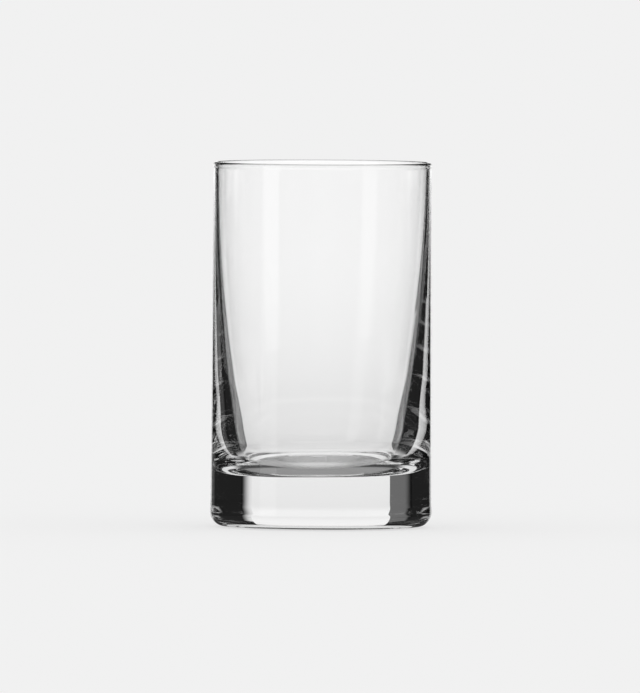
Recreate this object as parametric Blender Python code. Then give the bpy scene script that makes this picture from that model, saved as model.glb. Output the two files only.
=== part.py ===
"""Vodka glass: a straight-sided tumbler of clear glass with a heavy solid base.

The glass is one piece, so the model is one turned solid. Its outline starts at the middle of the
inner floor, climbs the inside, rolls over the fire-polished lip, comes down the outside and closes
under the foot. Lengths are in metres, +Z is up, and the origin lies on the axis in the plane that
the glass stands on.
"""

import math

import bpy
from mathutils import Vector

# Driving dimensions of the outside
HEIGHT = 0.0688
RIM_RADIUS = 0.0206
WALL_FOOT_RADIUS = 0.02087
FOOT_FLARE = 0.00008
SEAM_HEIGHT = 0.0054
HEEL_RADIUS = 0.00265
STANDING_RING_WIDTH = 0.0030
PUNT_DEPTH = 0.0005

# Driving dimensions of the lip
RIM_WALL = 0.0009
LIP_RADIUS = 0.0005
LIP_BLEND_HEIGHT = 0.0015

# Driving dimensions of the inside
BASE_THICKNESS = 0.0094
FLOOR_WALL = 0.0058
FLOOR_ARC_RADIUS = 0.240
CORNER_RADIUS = 0.0050
SWELL_RADIUS = 0.0300
SWELL_SLOPE = math.radians(18.5)

# Clear soda-lime glass
GLASS_COLOUR = (0.97, 0.98, 0.98, 1.0)
GLASS_ROUGHNESS = 0.0
GLASS_IOR = 1.52

# Facets around the axis and along each stretch of the outline, and the distance that closes the turn
TURN_STEPS = 72
FLOOR_STEPS = 4
CORNER_STEPS = 8
SWELL_STEPS = 3
WALL_STEPS = 12
LIP_STEPS = 8
BLEND_STEPS = 4
HEEL_STEPS = 7
PUNT_STEPS = 4
MERGE_DISTANCE = 1e-6


def ease(share):
    """Rise from 0 to 1 that starts and ends level."""
    return 0.5 - 0.5 * math.cos(math.pi * share)


def arc(centre, radius, start, end, steps):
    """Points on a circle from one angle to another, both ends included."""
    angles = [start + (end - start) * i / steps for i in range(steps + 1)]
    return [centre + radius * Vector((math.cos(a), math.sin(a))) for a in angles]


def heading(start, end):
    """Angle of the line from one point to another."""
    line = end - start
    return math.atan2(line.y, line.x)


def lower_meeting_point(centre_a, radius_a, centre_b, radius_b):
    """The lower of the two points where two circles cross."""
    line = centre_b - centre_a
    along = (line.length_squared + radius_a**2 - radius_b**2) / (2 * line.length)
    across = math.sqrt(radius_a**2 - along**2)
    forward = line.normalized()
    sideways = Vector((forward.y, -forward.x))
    crossings = [centre_a + along * forward + side * across * sideways for side in (1, -1)]
    return min(crossings, key=lambda point: point.y)


def outer_wall_radius(z):
    """The wall widens slightly and evenly from the rim down to the mould seam."""
    share = (HEIGHT - z) / (HEIGHT - SEAM_HEIGHT)
    return RIM_RADIUS + (WALL_FOOT_RADIUS - RIM_RADIUS) * share


def inside_outline():
    """Dished floor, round corner, swelling and long curved wall, each arc tangent to the next.

    The corner and the swelling meet where the surface leans by SWELL_SLOPE.
    """
    top = Vector((RIM_RADIUS - RIM_WALL, HEIGHT - LIP_RADIUS))
    inset = top.x - (outer_wall_radius(BASE_THICKNESS) - FLOOR_WALL)
    depth = top.y - BASE_THICKNESS
    wall_arc_radius = (depth**2 + inset**2) / (2 * inset)

    wall_centre = Vector((top.x - wall_arc_radius, top.y))
    floor_centre = Vector((0.0, BASE_THICKNESS + FLOOR_ARC_RADIUS))
    shift = (SWELL_RADIUS - CORNER_RADIUS) * Vector((math.cos(SWELL_SLOPE), -math.sin(SWELL_SLOPE)))
    corner_centre = lower_meeting_point(
        wall_centre + shift, wall_arc_radius - SWELL_RADIUS,
        floor_centre, FLOOR_ARC_RADIUS - CORNER_RADIUS,
    )
    swell_centre = corner_centre - shift
    floor_end = heading(floor_centre, corner_centre)
    wall_start = heading(wall_centre, swell_centre)

    floor = arc(floor_centre, FLOOR_ARC_RADIUS, -math.pi / 2, floor_end, FLOOR_STEPS)
    floor[0].x = 0.0
    corner = arc(corner_centre, CORNER_RADIUS, floor_end, -SWELL_SLOPE, CORNER_STEPS)
    swell = arc(swell_centre, SWELL_RADIUS, -SWELL_SLOPE, wall_start, SWELL_STEPS)
    wall = arc(wall_centre, wall_arc_radius, wall_start, 0.0, WALL_STEPS)
    return floor + corner[1:] + swell[1:] + wall[1:]


def lip_outline():
    """Round fire-polished lip, slightly proud of the wall, that fades into it below."""
    centre = Vector((RIM_RADIUS - RIM_WALL + LIP_RADIUS, HEIGHT - LIP_RADIUS))
    points = arc(centre, LIP_RADIUS, math.pi, 0.0, LIP_STEPS)
    proud = points[-1].x - outer_wall_radius(centre.y)
    for i in range(1, BLEND_STEPS + 1):
        share = i / BLEND_STEPS
        z = centre.y - LIP_BLEND_HEIGHT * share
        points.append(Vector((outer_wall_radius(z) + proud * (1 - ease(share)), z)))
    return points


def foot_outline():
    """Slight flare below the mould seam, round heel, flat standing ring and shallow punt."""
    points = []
    for i in range(BLEND_STEPS + 1):
        share = i / BLEND_STEPS
        z = SEAM_HEIGHT + (HEEL_RADIUS - SEAM_HEIGHT) * share
        points.append(Vector((outer_wall_radius(z) + FOOT_FLARE * ease(share), z)))

    ring_outer = points[-1].x - HEEL_RADIUS
    ring_inner = ring_outer - STANDING_RING_WIDTH
    heel_centre = Vector((ring_outer, HEEL_RADIUS))
    points += arc(heel_centre, HEEL_RADIUS, 0.0, -math.pi / 2, HEEL_STEPS)[1:]
    points[-1].y = 0.0
    for i in range(PUNT_STEPS + 1):
        share = i / PUNT_STEPS
        points.append(Vector((ring_inner * (1 - share), PUNT_DEPTH * ease(share))))
    return points


def clear_glass():
    material = bpy.data.materials.new("clear_glass")
    material.use_nodes = True
    surface = material.node_tree.nodes["Principled BSDF"]
    surface.inputs["Base Color"].default_value = GLASS_COLOUR
    surface.inputs["Metallic"].default_value = 0.0
    surface.inputs["Roughness"].default_value = GLASS_ROUGHNESS
    surface.inputs["IOR"].default_value = GLASS_IOR
    surface.inputs["Transmission Weight"].default_value = 1.0
    return material


def turned_object(name, outline, material):
    """Turn an outline in the XZ plane once round the Z axis."""
    mesh = bpy.data.meshes.new(name)
    points = [(point.x, 0.0, point.y) for point in outline]
    edges = [(i, i + 1) for i in range(len(points) - 1)]
    mesh.from_pydata(points, edges, [])
    mesh.materials.append(material)

    turned = bpy.data.objects.new(name, mesh)
    bpy.context.scene.collection.objects.link(turned)
    screw = turned.modifiers.new("turn", "SCREW")
    screw.axis = "Z"
    screw.angle = 2 * math.pi
    screw.steps = TURN_STEPS
    screw.render_steps = TURN_STEPS
    screw.use_merge_vertices = True
    screw.merge_threshold = MERGE_DISTANCE
    screw.use_smooth_shade = True
    return turned


for old in list(bpy.data.objects):
    bpy.data.objects.remove(old)

turned_object("glass_body", inside_outline() + lip_outline()[1:] + foot_outline(), clear_glass())
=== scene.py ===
"""Looks of the vodka glass: a fine turned body of clear glass in a bright-field studio set.

Lengths are in metres, +Z is up, and the glass stands on the origin with its axis along Z.
"""

import math

import bmesh
import bpy
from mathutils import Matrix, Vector


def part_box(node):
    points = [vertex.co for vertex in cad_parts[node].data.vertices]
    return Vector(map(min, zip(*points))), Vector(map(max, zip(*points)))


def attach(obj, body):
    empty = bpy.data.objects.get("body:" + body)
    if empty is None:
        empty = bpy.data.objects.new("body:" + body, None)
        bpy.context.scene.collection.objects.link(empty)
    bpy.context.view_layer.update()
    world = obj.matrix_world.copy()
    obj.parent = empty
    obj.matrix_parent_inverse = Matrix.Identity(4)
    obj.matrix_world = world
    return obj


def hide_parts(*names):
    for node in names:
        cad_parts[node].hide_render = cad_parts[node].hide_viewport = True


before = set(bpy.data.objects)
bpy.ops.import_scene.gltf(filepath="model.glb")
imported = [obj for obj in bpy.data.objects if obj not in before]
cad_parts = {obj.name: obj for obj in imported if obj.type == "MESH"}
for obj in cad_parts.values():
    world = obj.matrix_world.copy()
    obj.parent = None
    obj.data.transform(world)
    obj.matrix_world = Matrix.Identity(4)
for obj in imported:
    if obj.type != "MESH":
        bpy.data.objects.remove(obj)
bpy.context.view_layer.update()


# The glass
# One gob of clear soda-lime glass, pressed in a mould and fire-polished at the lip. The inside
# narrows downwards in smooth arcs, so that the wall grows from under 1 mm at the lip to a solid base.
# It stands on a flat ring round a shallow punt, and a fine mould seam runs round it above the heel.

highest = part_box("glass_body")[1]
HEIGHT = highest.z
FOOT_RADIUS = highest.x

RIM_RADIUS = 0.0206
FOOT_FLARE = 0.00008
SEAM_HEIGHT = 0.0054
HEEL_RADIUS = 0.00265
STANDING_RING_WIDTH = 0.0030
PUNT_DEPTH = 0.0005

RIM_WALL = 0.0009
LIP_RADIUS = 0.0005
LIP_BLEND_HEIGHT = 0.0007

BASE_THICKNESS = 0.0094
FLOOR_WALL = 0.0058
FLOOR_ARC_RADIUS = 0.240
CORNER_RADIUS = 0.0050
SWELL_RADIUS = 0.0300
SWELL_SLOPE = math.radians(18.5)
INSIDE_LEAN = -0.00028
FLOOR_TILT = 0.012
BULGE_DEPTH = 0.00016
BULGE_BOTTOM = 0.0105
BULGE_MIDDLE = 0.0185
BULGE_TOP = 0.0285
RIPPLE_DEPTH = 0.000012
RIPPLE_LENGTH = 0.0026
RIPPLE_REACH = 0.0135

TURN_STEPS = 320
FLOOR_STEPS = 60
CORNER_STEPS = 36
SWELL_STEPS = 12
WALL_STEPS = 40
LIP_STEPS = 18
BLEND_STEPS = 12
OUTER_STEPS = 24
FLARE_STEPS = 12
HEEL_STEPS = 18
PUNT_STEPS = 14
MERGE_DISTANCE = 1e-7

GLASS_IOR = 1.52
TINT = (0.9, 0.9, 0.9, 1.0)
TINT_DENSITY = 25.0
SEAM_LINE = 0.00003
SEAM_ROUGHNESS = 0.15
RING_WEAR_RADIUS = 0.0168
RING_WEAR_WIDTH = 0.0004
RING_WEAR_HEIGHT = (0.00002, 0.00010)
RING_ROUGHNESS = 0.3
SCRATCH_CELLS = 140.0
SCRATCH_REACH = 0.42
SCRATCH_WIDTH = 0.008
SCRATCH_PATCHES = 260.0
SCRATCH_SHARE = (0.58, 0.62)
SCRATCH_TOP = (0.036, 0.044)
SCRATCH_OUTSIDE = (0.0200, 0.0203)
SCRATCH_ROUGHNESS = 0.2
WAVES = 70.0
WAVE_DEPTH = 0.000005


def ease(share):
    """Rise from 0 to 1 that starts and ends level."""
    return 0.5 - 0.5 * math.cos(math.pi * share)


def outer_wall_radius(z):
    """The wall widens slightly and evenly from the rim down to the foot."""
    widest = FOOT_RADIUS - FOOT_FLARE
    share = (HEIGHT - z) / (HEIGHT - HEEL_RADIUS)
    return RIM_RADIUS + (widest - RIM_RADIUS) * share


def on_section(x, z):
    """A point of the cross-section, which lies in the XZ plane."""
    return Vector((x, 0.0, z))


def heading(start, end):
    """Angle of the line from one point of the cross-section to another."""
    line = end - start
    return math.atan2(line.z, line.x)


def lower_meeting_point(centre_a, radius_a, centre_b, radius_b):
    """The lower of the two points where two circles of the cross-section cross."""
    line = centre_b - centre_a
    along = (line.length_squared + radius_a**2 - radius_b**2) / (2 * line.length)
    across = math.sqrt(radius_a**2 - along**2)
    forward = line.normalized()
    sideways = on_section(forward.z, -forward.x)
    crossings = [centre_a + along * forward + side * across * sideways for side in (1, -1)]
    return min(crossings, key=lambda point: point.z)


def draw_arc(outline, end, centre, angle, steps):
    """Carry the end of the outline round a centre, and return the new end."""
    swept = bmesh.ops.spin(outline, geom=[end], cent=centre, axis=(0, -1, 0), angle=angle, steps=steps)
    return next(item for item in swept["geom_last"] if isinstance(item, bmesh.types.BMVert))


def draw_line(outline, end, points):
    """Carry the end of the outline on through some points, and return the new end."""
    for point in points:
        drawn = bmesh.ops.extrude_vert_indiv(outline, verts=[end])
        end = drawn["verts"][0]
        end.co = point
    return end


def draw_inside(outline):
    """Dished floor, round corner, swelling and long wall, each arc tangent to the next."""
    top = on_section(RIM_RADIUS - RIM_WALL, HEIGHT - LIP_RADIUS)
    inset = top.x - (outer_wall_radius(BASE_THICKNESS) - FLOOR_WALL)
    depth = top.z - BASE_THICKNESS
    wall_arc_radius = (depth**2 + inset**2) / (2 * inset)

    wall_centre = on_section(top.x - wall_arc_radius, top.z)
    floor_centre = on_section(0.0, BASE_THICKNESS + FLOOR_ARC_RADIUS)
    shift = (SWELL_RADIUS - CORNER_RADIUS) * on_section(math.cos(SWELL_SLOPE), -math.sin(SWELL_SLOPE))
    corner_centre = lower_meeting_point(
        wall_centre + shift, wall_arc_radius - SWELL_RADIUS,
        floor_centre, FLOOR_ARC_RADIUS - CORNER_RADIUS,
    )
    swell_centre = corner_centre - shift
    floor_end = heading(floor_centre, corner_centre)
    wall_start = heading(wall_centre, swell_centre)

    end = outline.verts.new(on_section(0.0, BASE_THICKNESS))
    end = draw_arc(outline, end, floor_centre, floor_end + math.pi / 2, FLOOR_STEPS)
    end = draw_arc(outline, end, corner_centre, -SWELL_SLOPE - floor_end, CORNER_STEPS)
    end = draw_arc(outline, end, swell_centre, wall_start + SWELL_SLOPE, SWELL_STEPS)
    return draw_arc(outline, end, wall_centre, -wall_start, WALL_STEPS)


def draw_lip(outline, end):
    """Round lip, slightly proud of the wall, that fades into it below."""
    centre = on_section(RIM_RADIUS - RIM_WALL + LIP_RADIUS, HEIGHT - LIP_RADIUS)
    end = draw_arc(outline, end, centre, -math.pi, LIP_STEPS)
    proud = end.co.x - outer_wall_radius(centre.z)
    shares = [i / BLEND_STEPS for i in range(1, BLEND_STEPS + 1)]
    heights = [centre.z - LIP_BLEND_HEIGHT * share for share in shares]
    faded = [proud * (1 - ease(share)) for share in shares]
    points = [on_section(outer_wall_radius(z) + extra, z) for z, extra in zip(heights, faded)]
    return draw_line(outline, end, points)


def draw_wall(outline, end):
    """Straight outside, down to the mould seam."""
    top = end.co.z
    heights = [top + (SEAM_HEIGHT - top) * i / OUTER_STEPS for i in range(1, OUTER_STEPS + 1)]
    return draw_line(outline, end, [on_section(outer_wall_radius(z), z) for z in heights])


def draw_foot(outline, end):
    """Slight flare below the seam, round heel, flat standing ring and shallow punt."""
    shares = [i / FLARE_STEPS for i in range(1, FLARE_STEPS + 1)]
    heights = [SEAM_HEIGHT + (HEEL_RADIUS - SEAM_HEIGHT) * share for share in shares]
    flared = [FOOT_FLARE * ease(share) for share in shares]
    points = [on_section(outer_wall_radius(z) + extra, z) for z, extra in zip(heights, flared)]
    end = draw_line(outline, end, points)

    ring_outer = end.co.x - HEEL_RADIUS
    ring_inner = ring_outer - STANDING_RING_WIDTH
    end = draw_arc(outline, end, on_section(ring_outer, HEEL_RADIUS), -math.pi / 2, HEEL_STEPS)
    shares = [i / PUNT_STEPS for i in range(PUNT_STEPS + 1)]
    points = [on_section(ring_inner * (1 - share), PUNT_DEPTH * ease(share)) for share in shares]
    return draw_line(outline, end, points)


def bulge(z):
    """How far the wall swells inwards above the floor."""
    if z < BULGE_MIDDLE:
        share = (z - BULGE_BOTTOM) / (BULGE_MIDDLE - BULGE_BOTTOM)
    else:
        share = (BULGE_TOP - z) / (BULGE_TOP - BULGE_MIDDLE)
    return BULGE_DEPTH * ease(max(share, 0.0))


def ripple(radius):
    """Height of the faint rings that the plunger left on the floor, between its middle and its corner."""
    fading = ease(max(1 - abs(2 * radius / RIPPLE_REACH - 1), 0.0))
    return RIPPLE_DEPTH * fading * math.cos(2 * math.pi * radius / RIPPLE_LENGTH)


def press_inside(body):
    """Ripple and tilt the floor, swell the wall a little above it and lean the inside to the left."""
    top = HEIGHT - LIP_RADIUS
    for point in body.verts:
        x, y, z = point.co
        radius = math.hypot(x, y)
        if radius < RIM_RADIUS - LIP_RADIUS and BASE_THICKNESS - MERGE_DISTANCE <= z < top:
            share = (top - z) / (top - BASE_THICKNESS)
            narrowing = 1 - bulge(z) / max(radius, MERGE_DISTANCE)
            lift = FLOOR_TILT * x * share + ripple(radius)
            point.co = (x * narrowing + INSIDE_LEAN * share, y * narrowing, z + lift)


def coordinates(tree, source):
    """The place on an object or the direction in the world, as three separate numbers."""
    place = tree.nodes.new("ShaderNodeTexCoord")
    parts = tree.nodes.new("ShaderNodeSeparateXYZ")
    tree.links.new(place.outputs[source], parts.inputs["Vector"])
    return parts.outputs


def axis_distance(tree):
    """Distance of a place on an object from the axis of the glass."""
    place = tree.nodes.new("ShaderNodeTexCoord")
    flat = tree.nodes.new("ShaderNodeVectorMath")
    flat.operation = "MULTIPLY"
    flat.inputs[1].default_value = (1.0, 1.0, 0.0)
    reach = tree.nodes.new("ShaderNodeVectorMath")
    reach.operation = "LENGTH"
    tree.links.new(place.outputs["Object"], flat.inputs[0])
    tree.links.new(flat.outputs["Vector"], reach.inputs[0])
    return reach.outputs["Value"]


def change(tree, value, start, end, level_start, level_end):
    """Smooth change from one level to another along a stretch of some value."""
    ramp = tree.nodes.new("ShaderNodeMapRange")
    ramp.interpolation_type = "SMOOTHSTEP"
    ramp.inputs["From Min"].default_value = start
    ramp.inputs["From Max"].default_value = end
    ramp.inputs["To Min"].default_value = level_start
    ramp.inputs["To Max"].default_value = level_end
    tree.links.new(value, ramp.inputs["Value"])
    return ramp.outputs["Result"]


def product(tree, first, second):
    """Two values multiplied."""
    node = tree.nodes.new("ShaderNodeMath")
    node.operation = "MULTIPLY"
    tree.links.new(first, node.inputs[0])
    tree.links.new(second, node.inputs[1])
    return node.outputs["Value"]


def greater(tree, first, second):
    """The greater of two values."""
    node = tree.nodes.new("ShaderNodeMath")
    node.operation = "MAXIMUM"
    tree.links.new(first, node.inputs[0])
    tree.links.new(second, node.inputs[1])
    return node.outputs["Value"]


def line_at(tree, value, middle, width):
    """1 within some width of a middle value, and 0 elsewhere."""
    node = tree.nodes.new("ShaderNodeMath")
    node.operation = "COMPARE"
    tree.links.new(value, node.inputs[0])
    node.inputs[1].default_value = middle
    node.inputs[2].default_value = width
    return node.outputs["Value"]


def wear(tree):
    """Where the surface is matt: the worn standing ring, the seam, and short curved scratches low outside."""
    place = tree.nodes.new("ShaderNodeTexCoord")
    cells = tree.nodes.new("ShaderNodeTexVoronoi")
    cells.inputs["Scale"].default_value = SCRATCH_CELLS
    patches = tree.nodes.new("ShaderNodeTexNoise")
    patches.inputs["Scale"].default_value = SCRATCH_PATCHES
    tree.links.new(place.outputs["Object"], cells.inputs["Vector"])
    tree.links.new(place.outputs["Object"], patches.inputs["Vector"])
    height = coordinates(tree, "Object")["Z"]
    reach = axis_distance(tree)

    curves = line_at(tree, cells.outputs["Distance"], SCRATCH_REACH, SCRATCH_WIDTH)
    patchy = change(tree, patches.outputs["Fac"], *SCRATCH_SHARE, 0.0, SCRATCH_ROUGHNESS)
    low = change(tree, height, *SCRATCH_TOP, 1.0, 0.0)
    outside = change(tree, reach, *SCRATCH_OUTSIDE, 0.0, 1.0)
    scratches = product(tree, product(tree, product(tree, curves, patchy), low), outside)
    seam = change(tree, line_at(tree, height, SEAM_HEIGHT, SEAM_LINE), 0.0, 1.0, 0.0, SEAM_ROUGHNESS)
    underneath = change(tree, height, *RING_WEAR_HEIGHT, RING_ROUGHNESS, 0.0)
    ring = product(tree, underneath, line_at(tree, reach, RING_WEAR_RADIUS, RING_WEAR_WIDTH))
    return greater(tree, greater(tree, scratches, seam), ring)


def clear_glass():
    """Clear soda-lime glass, polished and slightly wavy, which takes up a little light on the way through."""
    material = bpy.data.materials.new("clear_glass")
    material.use_nodes = True
    tree = material.node_tree
    surface = tree.nodes["Principled BSDF"]
    surface.inputs["Base Color"].default_value = (1.0, 1.0, 1.0, 1.0)
    surface.inputs["IOR"].default_value = GLASS_IOR
    surface.inputs["Transmission Weight"].default_value = 1.0
    tree.links.new(wear(tree), surface.inputs["Roughness"])
    place = tree.nodes.new("ShaderNodeTexCoord")
    waves = tree.nodes.new("ShaderNodeTexNoise")
    waves.inputs["Scale"].default_value = WAVES
    relief = tree.nodes.new("ShaderNodeBump")
    relief.inputs["Distance"].default_value = WAVE_DEPTH
    tree.links.new(place.outputs["Object"], waves.inputs["Vector"])
    tree.links.new(waves.outputs["Fac"], relief.inputs["Height"])
    tree.links.new(relief.outputs["Normal"], surface.inputs["Normal"])
    tint = tree.nodes.new("ShaderNodeVolumeAbsorption")
    tint.inputs["Color"].default_value = TINT
    tint.inputs["Density"].default_value = TINT_DENSITY
    tree.links.new(tint.outputs["Volume"], tree.nodes["Material Output"].inputs["Volume"])
    return material


body_mesh = bmesh.new()
outline_end = draw_inside(body_mesh)
outline_end = draw_lip(body_mesh, outline_end)
outline_end = draw_wall(body_mesh, outline_end)
outline_end = draw_foot(body_mesh, outline_end)
bmesh.ops.spin(
    body_mesh, geom=body_mesh.verts[:] + body_mesh.edges[:], cent=(0, 0, 0), axis=(0, 0, 1),
    angle=2 * math.pi, steps=TURN_STEPS, use_merge=True,
)
bmesh.ops.remove_doubles(body_mesh, verts=body_mesh.verts, dist=MERGE_DISTANCE)
press_inside(body_mesh)
bmesh.ops.recalc_face_normals(body_mesh, faces=body_mesh.faces)
for face in body_mesh.faces:
    face.smooth = True

glass_body = bpy.data.objects.new("vodka_glass_body", bpy.data.meshes.new("vodka_glass_body"))
body_mesh.to_mesh(glass_body.data)
body_mesh.free()
glass_body.data.materials.append(clear_glass())
bpy.context.scene.collection.objects.link(glass_body)
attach(glass_body, "root")
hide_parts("glass_body")


# The camera
# A long lens, far off and almost level with the glass, so that its rim and its foot look nearly flat.
# The picture is taller than wide, so the lens follows from its height. The sensor is in millimetres.

SENSOR_SIZE = 36.0
PICTURE_HEIGHT = 693
PIXEL = 0.000189
VIEW_REACH = 100.0
CAMERA_DISTANCE = 4.5
CAMERA_ELEVATION = math.radians(1.8)
CAMERA_ROLL = math.radians(0.3)
AIM_POINT = Vector((-0.0003213, 0.0, 0.03394))

camera_data = bpy.data.cameras.new("camera")
camera_data.sensor_width = SENSOR_SIZE
camera_data.lens = SENSOR_SIZE * CAMERA_DISTANCE / (PICTURE_HEIGHT * PIXEL)
camera_data.clip_end = VIEW_REACH
camera = bpy.data.objects.new("camera", camera_data)
bpy.context.scene.collection.objects.link(camera)
towards_camera = Vector((0.0, -math.cos(CAMERA_ELEVATION), math.sin(CAMERA_ELEVATION)))
camera.location = AIM_POINT + CAMERA_DISTANCE * towards_camera
camera.rotation_euler = (math.pi / 2 - CAMERA_ELEVATION, 0.0, 0.0)
camera.rotation_euler.rotate_axis("Z", CAMERA_ROLL)
bpy.context.scene.camera = camera


# The table and the background
# A matt pale table in front of a background of the same shade, in soft daylight from all round. Rays that
# come from the glass see neither: they see a dark room, pale steeply below and grey steeply above.

PALE = (0.88, 0.88, 0.88, 1.0)
DAYLIGHT = (1.0, 1.0, 1.0, 1.0)
DARK_LEVEL = 0.015
DOWNWARD_LEVEL = 0.8
DOWNWARD_REACH = (math.sin(math.radians(-42)), math.sin(math.radians(-33)))
UPWARD_LEVEL = 0.3
UPWARD_REACH = (math.sin(math.radians(45)), math.sin(math.radians(55)))
TABLE_HALF_SIZE = 6.0
TABLE_HEIGHT = -0.0002
TABLE_GLOW = 0.75


def shown_to(tree, rays, colour, room):
    """One colour for some kind of ray, and what the room shows for all others."""
    mix = tree.nodes.new("ShaderNodeMix")
    mix.data_type = "RGBA"
    tree.links.new(rays, mix.inputs["Factor"])
    tree.links.new(room, mix.inputs["A"])
    mix.inputs["B"].default_value = colour
    return mix.outputs["Result"]


def plate(name, corners):
    """A flat four-cornered plate of the set."""
    mesh = bmesh.new()
    mesh.faces.new([mesh.verts.new(corner) for corner in corners])
    made = bpy.data.objects.new(name, bpy.data.meshes.new(name))
    mesh.to_mesh(made.data)
    mesh.free()
    bpy.context.scene.collection.objects.link(made)
    return made


def pale_table():
    """Matt pale table, most of whose tone is its own light, so that the shadow on it stays faint."""
    material = bpy.data.materials.new("pale_table")
    material.use_nodes = True
    tree = material.node_tree
    surface = tree.nodes["Principled BSDF"]
    surface.inputs["Base Color"].default_value = PALE
    surface.inputs["Roughness"].default_value = 1.0
    surface.inputs["Specular IOR Level"].default_value = 0.0
    glow = tree.nodes.new("ShaderNodeEmission")
    glow.inputs["Color"].default_value = PALE
    blend = tree.nodes.new("ShaderNodeMixShader")
    blend.inputs["Fac"].default_value = TABLE_GLOW
    tree.links.new(surface.outputs["BSDF"], blend.inputs[1])
    tree.links.new(glow.outputs["Emission"], blend.inputs[2])
    tree.links.new(blend.outputs["Shader"], tree.nodes["Material Output"].inputs["Surface"])
    return material


world = bpy.data.worlds.new("studio")
world.use_nodes = True
bpy.context.scene.world = world
world_tree = world.node_tree
ray = world_tree.nodes.new("ShaderNodeLightPath")
upward = coordinates(world_tree, "Generated")["Z"]
below = change(world_tree, upward, *DOWNWARD_REACH, DOWNWARD_LEVEL, DARK_LEVEL)
above = change(world_tree, upward, *UPWARD_REACH, DARK_LEVEL, UPWARD_LEVEL)
dark_room = greater(world_tree, below, above)
lit_room = shown_to(world_tree, ray.outputs["Is Diffuse Ray"], DAYLIGHT, dark_room)
seen_room = shown_to(world_tree, ray.outputs["Is Camera Ray"], PALE, lit_room)
world_tree.links.new(seen_room, world_tree.nodes["Background"].inputs["Color"])

corners = [(-1, -1), (1, -1), (1, 1), (-1, 1)]
table = plate("table", [(TABLE_HALF_SIZE * x, TABLE_HALF_SIZE * y, TABLE_HEIGHT) for x, y in corners])
table.data.materials.append(pale_table())
table.visible_glossy = False
table.visible_transmission = False


# The rig
# The patch of table under the glass and all the light panels hang on a rig that turns with the camera, so
# that the glass shows the same bright field from every side, as it would on a turntable.

rig = bpy.data.objects.new("rig", None)
bpy.context.scene.collection.objects.link(rig)
turn = rig.constraints.new("COPY_ROTATION")
turn.target = camera
turn.use_x = False
turn.use_y = False


# The table under the glass
# The round patch of table that shows through the base, a glowing disc whose levels are painted shade and
# painted light. As painted shade of the glass it is grey, and darker towards the foot. Past the foot it is
# almost black in front and, as painted light, bright behind.

SHADE_RADIUS = 0.028
SHADE_FACETS = 96
SHADE_MIDDLE_LEVEL = 0.58
SHADE_RING_LEVEL = 0.32
SHADE_FRONT_LEVEL = 0.06
SHADE_BACK_LEVEL = 0.92
SHADE_MIDDLE = (0.002, 0.008)
SHADE_EDGE = (0.0170, 0.0195)
SHADE_BEHIND = (0.000, 0.010)


def only_for_glass(made):
    """Hide a thing of the set from all but the rays that come from the glass."""
    made.visible_camera = False
    made.visible_diffuse = False
    made.visible_shadow = False
    made.visible_volume_scatter = False


def glowing(name):
    """A material that only gives light: returns the material and the socket for its strength."""
    material = bpy.data.materials.new(name)
    material.use_nodes = True
    tree = material.node_tree
    tree.nodes.remove(tree.nodes["Principled BSDF"])
    light = tree.nodes.new("ShaderNodeEmission")
    tree.links.new(light.outputs["Emission"], tree.nodes["Material Output"].inputs["Surface"])
    return material, light.inputs["Strength"]


def painted_table_shade():
    """Painted shade and light: grey glow levels that change with the distance from the axis, and past the
    foot from front to back.
    """
    material, strength = glowing("painted_shade_on_table")
    tree = material.node_tree
    reach = axis_distance(tree)
    backward = coordinates(tree, "Object")["Y"]
    inner = change(tree, reach, *SHADE_MIDDLE, SHADE_MIDDLE_LEVEL, SHADE_RING_LEVEL)
    outer = change(tree, backward, *SHADE_BEHIND, SHADE_FRONT_LEVEL, SHADE_BACK_LEVEL)
    blend = tree.nodes.new("ShaderNodeMix")
    tree.links.new(change(tree, reach, *SHADE_EDGE, 0.0, 1.0), blend.inputs["Factor"])
    tree.links.new(inner, blend.inputs["A"])
    tree.links.new(outer, blend.inputs["B"])
    tree.links.new(blend.outputs["Result"], strength)
    return material


# A glowing disc on the rig: its levels are painted shade under the glass and painted light behind it.
shade_mesh = bmesh.new()
bmesh.ops.create_circle(shade_mesh, cap_ends=True, radius=SHADE_RADIUS, segments=SHADE_FACETS)
bmesh.ops.translate(shade_mesh, verts=shade_mesh.verts, vec=(0.0, 0.0, TABLE_HEIGHT))
painted_shade_disc = bpy.data.objects.new("painted_shade_disc", bpy.data.meshes.new("painted_shade_disc"))
shade_mesh.to_mesh(painted_shade_disc.data)
shade_mesh.free()
bpy.context.scene.collection.objects.link(painted_shade_disc)
painted_shade_disc.parent = rig
only_for_glass(painted_shade_disc)
painted_shade_disc.data.materials.append(painted_table_shade())


# The bright panel behind the glass
# A large glowing sheet. It fills the clear middle of the picture, its two edges draw the dark bands of the
# wall, and it fades out above the rim. Azimuths run clockwise from it, seen from above.

BRIGHT_AZIMUTH = 0.0
BRIGHT_DISTANCE = 0.16
BRIGHT_LEFT = -0.0725
BRIGHT_RIGHT = 0.073
BRIGHT_BOTTOM = -0.25
BRIGHT_FADE = 0.076
BRIGHT_TOP = 0.105
BRIGHT_LEVELS = (0.83, 1.07)
BRIGHT_RISE = (-0.052, 0.040)


def light_panel(name, azimuth, distance, across, heights):
    """A panel that faces the axis of the glass, between two limits across and two heights."""
    left, right = across
    bottom, top = heights
    panel = plate(name, [(left, 0, bottom), (right, 0, bottom), (right, 0, top), (left, 0, top)])
    panel.parent = rig
    panel.location = (distance * math.sin(azimuth), distance * math.cos(azimuth), 0.0)
    panel.rotation_euler = (0.0, 0.0, -azimuth)
    only_for_glass(panel)
    return panel


def light_up(panel, levels, rise, fades):
    """Light that goes from one level to another over a rise in height, and fades out along X or Z."""
    material, strength = glowing(panel.name)
    tree = material.node_tree
    place = coordinates(tree, "Object")
    light = change(tree, place["Z"], *rise, *levels)
    for axis, start, end in fades:
        light = product(tree, light, change(tree, place[axis], start, end, 1.0, 0.0))
    tree.links.new(light, strength)
    panel.data.materials.append(material)


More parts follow.
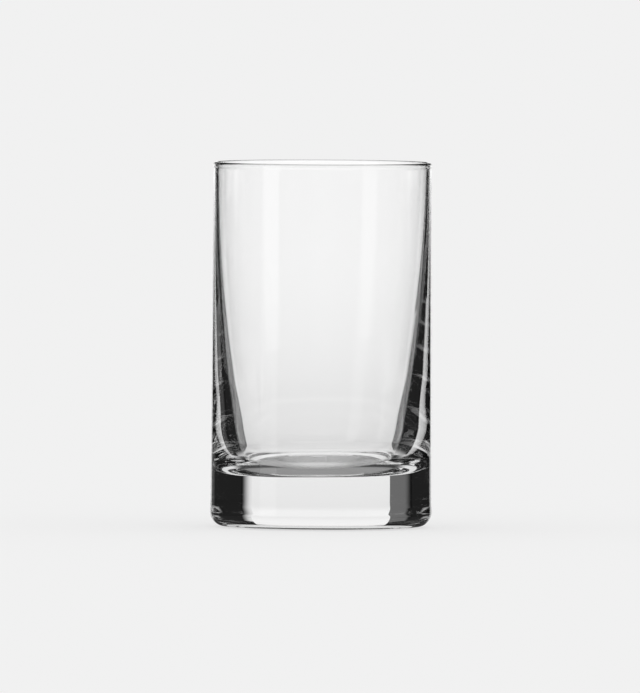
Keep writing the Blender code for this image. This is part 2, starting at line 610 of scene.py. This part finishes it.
bright_across = (BRIGHT_LEFT, BRIGHT_RIGHT)
bright_heights = (BRIGHT_BOTTOM, BRIGHT_TOP)
bright_panel = light_panel("bright_panel", BRIGHT_AZIMUTH, BRIGHT_DISTANCE, bright_across, bright_heights)
light_up(bright_panel, BRIGHT_LEVELS, BRIGHT_RISE, [("Z", BRIGHT_FADE, BRIGHT_TOP)])


# The glow beside the bright panel
# Light spills past the panel: softly on the right, which makes the soft left edge of the window in the base,
# and as an even grey on the left, which makes the grey block beside it. The spill next to the panel ends
# low, and two panels further back carry it on for the heel, whose rays go up.

SPILL_BOTTOM = -0.25
SPILL_SOFT_BOTTOM = -0.10
SPILL_TOP = 0.009
SPILL_RISE = (-0.032, -0.014)
RIGHT_EDGE = 0.084
RIGHT_SPILL = 0.095
RIGHT_SPILL_BOTTOM = (-0.012, -0.022)
RIGHT_SPILL_LEVELS = (0.9, 0.9)
LEFT_SPILL = -0.135
LEFT_SPILL_SOFT = -0.105
LEFT_SPILL_LEVELS = (0.07, 0.17)
FAR_DISTANCE = 1.0
FAR_HEIGHTS = (0.047, 0.32)
FAR_RIGHT = (0.530, 0.690)
FAR_LEFT = (-0.900, -0.520)
FAR_LEFT_FADE = (-0.780, -0.900)

near_heights = (SPILL_BOTTOM, SPILL_TOP)
low_fade = ("Z", SPILL_SOFT_BOTTOM, SPILL_BOTTOM)
right_fade = ("X", BRIGHT_RIGHT, RIGHT_SPILL)
spills = (
    ("right_edge", BRIGHT_DISTANCE, (BRIGHT_RIGHT, RIGHT_EDGE), near_heights, RIGHT_SPILL_LEVELS,
     [low_fade, right_fade]),
    ("right_spill", BRIGHT_DISTANCE, (RIGHT_EDGE, RIGHT_SPILL), near_heights, RIGHT_SPILL_LEVELS,
     [("Z", *RIGHT_SPILL_BOTTOM), right_fade]),
    ("left_spill", BRIGHT_DISTANCE, (LEFT_SPILL, BRIGHT_LEFT), near_heights, LEFT_SPILL_LEVELS,
     [low_fade, ("X", LEFT_SPILL_SOFT, LEFT_SPILL)]),
    ("right_far", FAR_DISTANCE, FAR_RIGHT, FAR_HEIGHTS, RIGHT_SPILL_LEVELS, [("X", *FAR_RIGHT)]),
    ("left_far", FAR_DISTANCE, FAR_LEFT, FAR_HEIGHTS, LEFT_SPILL_LEVELS, [("X", *FAR_LEFT_FADE)]),
)
for name, distance, across, heights, levels, fades in spills:
    spill = light_panel(name, BRIGHT_AZIMUTH, distance, across, heights)
    light_up(spill, levels, SPILL_RISE, fades)


# The pale walls at the sides
# Beyond a dark gap on each side of the bright panel the studio is pale again. Its grazing reflections keep
# the glass clear almost to its edges: the upper walls near the rim, and the low ones further down.

WALL_NEAR = 0.20
WALL_SOFT = 0.30
WALL_FAR = 0.42
WALL_HEIGHTS = (0.038, 0.084)
WALL_FADE = (0.048, 0.038)
WALL_LEVEL = 0.6
SIDE_AZIMUTH = math.radians(68)
SIDE_DISTANCE = 0.40
SIDE_WIDTH = 0.16
SIDE_HEIGHTS = (0.028, 0.090)
SIDE_FADE = (0.045, 0.028)
SIDE_LEVEL = 0.4
LOW_AZIMUTH = math.radians(80)
LOW_WIDTH = 0.28
LOW_HEIGHTS = (-0.22, -0.08)
LOW_FADE = (-0.11, -0.08)
LOW_LEVEL = 0.6


def centred(width):
    """The two limits across of a panel whose middle faces the axis."""
    return -width / 2, width / 2


for side, sign in (("left", -1), ("right", 1)):
    wall_across = sorted((sign * WALL_NEAR, sign * WALL_FAR))
    wall_fades = [("Z", *WALL_FADE), ("X", sign * WALL_SOFT, sign * WALL_NEAR)]
    walls = (
        ("wall", BRIGHT_AZIMUTH, BRIGHT_DISTANCE, wall_across, WALL_HEIGHTS, WALL_LEVEL, wall_fades),
        ("side", sign * SIDE_AZIMUTH, SIDE_DISTANCE, centred(SIDE_WIDTH), SIDE_HEIGHTS, SIDE_LEVEL,
         [("Z", *SIDE_FADE)]),
        ("low", sign * LOW_AZIMUTH, SIDE_DISTANCE, centred(LOW_WIDTH), LOW_HEIGHTS, LOW_LEVEL,
         [("Z", *LOW_FADE)]),
    )
    for name, azimuth, distance, across, heights, level, fades in walls:
        wall = light_panel(f"{side}_{name}", azimuth, distance, across, heights)
        light_up(wall, (level, level), heights, fades)


# The fill on the right
# A pale panel high up beside the glass, which fades out towards its lower edge. It shows as the grey patch
# at the left of the glass's floor.

FILL_AZIMUTH = math.radians(92)
FILL_DISTANCE = 0.45
FILL_WIDTH = 0.20
FILL_HEIGHTS = (0.12, 0.35)
FILL_FADE = (0.15, 0.12)
FILL_LEVEL = 0.7

right_fill = light_panel("right_fill", FILL_AZIMUTH, FILL_DISTANCE, centred(FILL_WIDTH), FILL_HEIGHTS)
light_up(right_fill, (FILL_LEVEL, FILL_LEVEL), FILL_HEIGHTS, [("Z", *FILL_FADE)])


# The softbox and the overhead light
# The softbox stands to the left of the camera and draws the two pale streaks. The light above the camera
# makes the bright marks on the floor of the glass.

SOFTBOX_AZIMUTH = math.radians(-124)
SOFTBOX_DISTANCE = 0.45
SOFTBOX_WIDTH = 0.15
SOFTBOX_HEIGHTS = (-0.10, 0.35)
SOFTBOX_LEVELS = (0.6, 1.0)
SOFTBOX_RISE = (0.08, 0.14)
OVERHEAD_AZIMUTH = math.radians(180)
OVERHEAD_DISTANCE = 0.45
OVERHEAD_WIDTH = 1.2
OVERHEAD_HEIGHTS = (0.34, 0.62)
OVERHEAD_LEVEL = 1.0

softbox = light_panel("softbox", SOFTBOX_AZIMUTH, SOFTBOX_DISTANCE, centred(SOFTBOX_WIDTH), SOFTBOX_HEIGHTS)
light_up(softbox, SOFTBOX_LEVELS, SOFTBOX_RISE, [])
overhead = light_panel(
    "overhead", OVERHEAD_AZIMUTH, OVERHEAD_DISTANCE, centred(OVERHEAD_WIDTH), OVERHEAD_HEIGHTS,
)
light_up(overhead, (OVERHEAD_LEVEL, OVERHEAD_LEVEL), OVERHEAD_HEIGHTS, [])


# The picture
# Light is bent and reflected many times on its way through the glass, so many bounces are followed. The
# plain view transform keeps the studio's greys as they are.

BOUNCES = 24
REFLECTIONS = 16

scene = bpy.context.scene
scene.view_settings.view_transform = "Standard"
scene.cycles.max_bounces = BOUNCES
scene.cycles.transmission_bounces = BOUNCES
scene.cycles.glossy_bounces = REFLECTIONS
